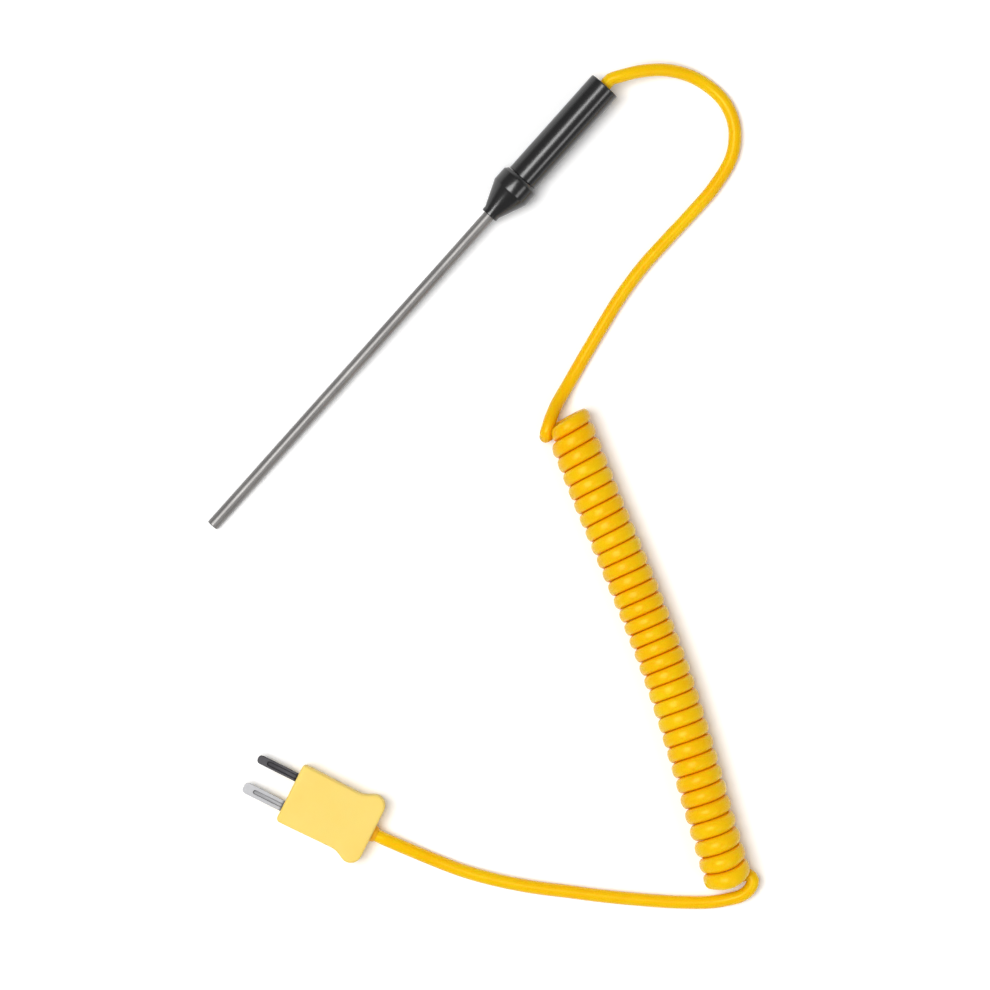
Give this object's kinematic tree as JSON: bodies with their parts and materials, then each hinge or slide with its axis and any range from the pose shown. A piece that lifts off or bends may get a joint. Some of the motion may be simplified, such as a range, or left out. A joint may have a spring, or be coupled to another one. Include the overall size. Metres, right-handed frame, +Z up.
{
  "type": "thermocouple probe",
  "caption": "Hand-held immersion temperature probe: thin steel sheath, black turned nose and round handle, curly yellow cord and a two-blade miniature thermocouple plug.",
  "frame": {"origin": "on the table, under the middle of the rigid probe (sheath, nose and handle)", "axes": "+X along the probe from the sheath's tip to the handle's rear, +Z up from the table, cord and plug on the -Y side"},
  "size_m": [0.2277, 0.1807, 0.0129],
  "materials": {
    "steel_sheath": "bright drawn",
    "mineral": "pressed, matt",
    "sealant": "set resin",
    "alloy_positive": "drawn",
    "alloy_negative": "drawn",
    "black_handle": "turned, gloss",
    "brass": "turned",
    "tinned": "tin plated",
    "sleeving": "woven sleeve",
    "yellow_jacket": "extruded, satin gloss",
    "yellow_insulation": "extruded",
    "red_insulation": "extruded",
    "yellow_moulding": "moulded, fine matt",
    "amber_rubber": "moulded",
    "steel_screw": "zinc plated"
  },
  "bodies": {
    "root": {"sheath": "steel_sheath", "insulator_core": "mineral", "wire_positive": "alloy_positive", "wire_negative": "alloy_negative", "end_seal": "sealant", "sheath_ferrule": "brass", "nose_cone": "black_handle", "handle_tube": "black_handle", "crimp_positive": "tinned", "crimp_negative": "tinned", "sleeve_positive": "sleeving", "sleeve_negative": "sleeving", "conductor_positive": "yellow_insulation", "conductor_negative": "red_insulation", "cord_stop_ring": "tinned", "cord_end_handle": "yellow_jacket", "cord_lead": "yellow_jacket", "cord_coil": "yellow_jacket", "cord_tail": "yellow_jacket", "plug_base": "yellow_moulding", "plug_cover": "yellow_moulding", "blade_positive": "tinned", "blade_negative": "tinned", "terminal_screw_positive": "brass", "terminal_screw_negative": "brass", "clamp_washer_positive": "tinned", "clamp_washer_negative": "tinned", "plug_conductor_positive": "yellow_insulation", "plug_conductor_negative": "red_insulation", "housing_screw_positive": "steel_screw", "housing_screw_negative": "steel_screw", "cord_grommet": "amber_rubber", "cord_end_plug": "yellow_jacket"}
  },
  "joints": []
}
